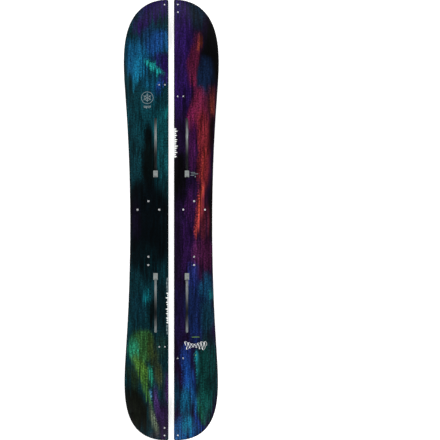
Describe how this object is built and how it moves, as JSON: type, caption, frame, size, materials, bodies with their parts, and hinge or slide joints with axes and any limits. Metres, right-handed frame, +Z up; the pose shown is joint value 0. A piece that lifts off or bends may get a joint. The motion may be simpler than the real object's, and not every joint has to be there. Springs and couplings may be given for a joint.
{
  "type": "split snowboard deck",
  "caption": "Long board split along its middle into halves with upturned ends, steel edges, slotted rails for bindings and threaded inserts for touring hardware.",
  "frame": {"origin": "on the ground under the middle of the board, midway between the two halves", "axes": "+Y towards the nose, +Z up from the base, +X towards the right half"},
  "size_m": [0.3198, 1.4797, 0.0648],
  "materials": {
    "topsheet_left": "glossy printed top sheet, dark teal and green",
    "topsheet_right": "glossy printed top sheet, dark purple, crimson and blue",
    "base_black": "sintered polyethylene, stone ground",
    "base_white": "sintered polyethylene, stone ground",
    "steel_edge": "ground edge steel",
    "glass_laminate": "cured glass and epoxy",
    "wood_core": "vertically laminated poplar and paulownia",
    "end_spacer": "moulded ABS",
    "sidewall": "machined ABS",
    "rail_aluminium": "satin anodised extrusion",
    "plug_plastic": "light grey moulded nylon",
    "insert_steel": "turned stainless steel"
  },
  "bodies": {
    "left_half": {"left_base": "base_black", "left_base_inlay": "base_white", "left_nose_edge": "steel_edge", "left_tail_edge": "steel_edge", "left_outer_edge": "steel_edge", "left_inner_edge": "steel_edge", "left_lower_laminate": "glass_laminate", "left_core_inner": "wood_core", "left_core_middle": "wood_core", "left_core_outer": "wood_core", "left_nose_spacer": "end_spacer", "left_tail_spacer": "end_spacer", "left_outer_sidewall": "sidewall", "left_inner_sidewall": "sidewall", "left_upper_laminate": "glass_laminate", "left_topsheet": "topsheet_left", "left_nose_rail": "rail_aluminium", "left_tail_rail": "rail_aluminium", "left_bracket_inserts": "insert_steel", "left_riser_inserts": "insert_steel", "left_nose_hook_inserts": "insert_steel", "left_tail_hook_inserts": "insert_steel", "left_nose_clip_inserts": "insert_steel", "left_tail_clip_inserts": "insert_steel"},
    "left_nose_plug": {"left_nose_port_plug": "plug_plastic"},
    "left_tail_plug": {"left_tail_port_plug": "plug_plastic"},
    "right_half": {"right_base": "base_white", "right_base_inlay": "base_black", "right_nose_edge": "steel_edge", "right_tail_edge": "steel_edge", "right_outer_edge": "steel_edge", "right_inner_edge": "steel_edge", "right_lower_laminate": "glass_laminate", "right_core_inner": "wood_core", "right_core_middle": "wood_core", "right_core_outer": "wood_core", "right_nose_spacer": "end_spacer", "right_tail_spacer": "end_spacer", "right_outer_sidewall": "sidewall", "right_inner_sidewall": "sidewall", "right_upper_laminate": "glass_laminate", "right_topsheet": "topsheet_right", "right_nose_rail": "rail_aluminium", "right_tail_rail": "rail_aluminium", "right_bracket_inserts": "insert_steel", "right_riser_inserts": "insert_steel", "right_nose_hook_inserts": "insert_steel", "right_tail_hook_inserts": "insert_steel", "right_nose_clip_inserts": "insert_steel", "right_tail_clip_inserts": "insert_steel"},
    "right_nose_plug": {"right_nose_port_plug": "plug_plastic"},
    "right_tail_plug": {"right_tail_port_plug": "plug_plastic"}
  },
  "joints": [
    {"name": "split_slide", "type": "slide", "parent": "left_half", "child": "right_half", "axis": [1, 0, 0], "range_m": [-0.0178, 0.15]},
    {"name": "left_nose_plug_lift", "type": "slide", "parent": "left_half", "child": "left_nose_plug", "axis": [0, 0, 1], "range_m": [0, 0.03]},
    {"name": "left_tail_plug_lift", "type": "slide", "parent": "left_half", "child": "left_tail_plug", "axis": [0, 0, 1], "range_m": [0, 0.03]},
    {"name": "right_nose_plug_lift", "type": "slide", "parent": "right_half", "child": "right_nose_plug", "axis": [0, 0, 1], "range_m": [0, 0.03]},
    {"name": "right_tail_plug_lift", "type": "slide", "parent": "right_half", "child": "right_tail_plug", "axis": [0, 0, 1], "range_m": [0, 0.03]}
  ]
}
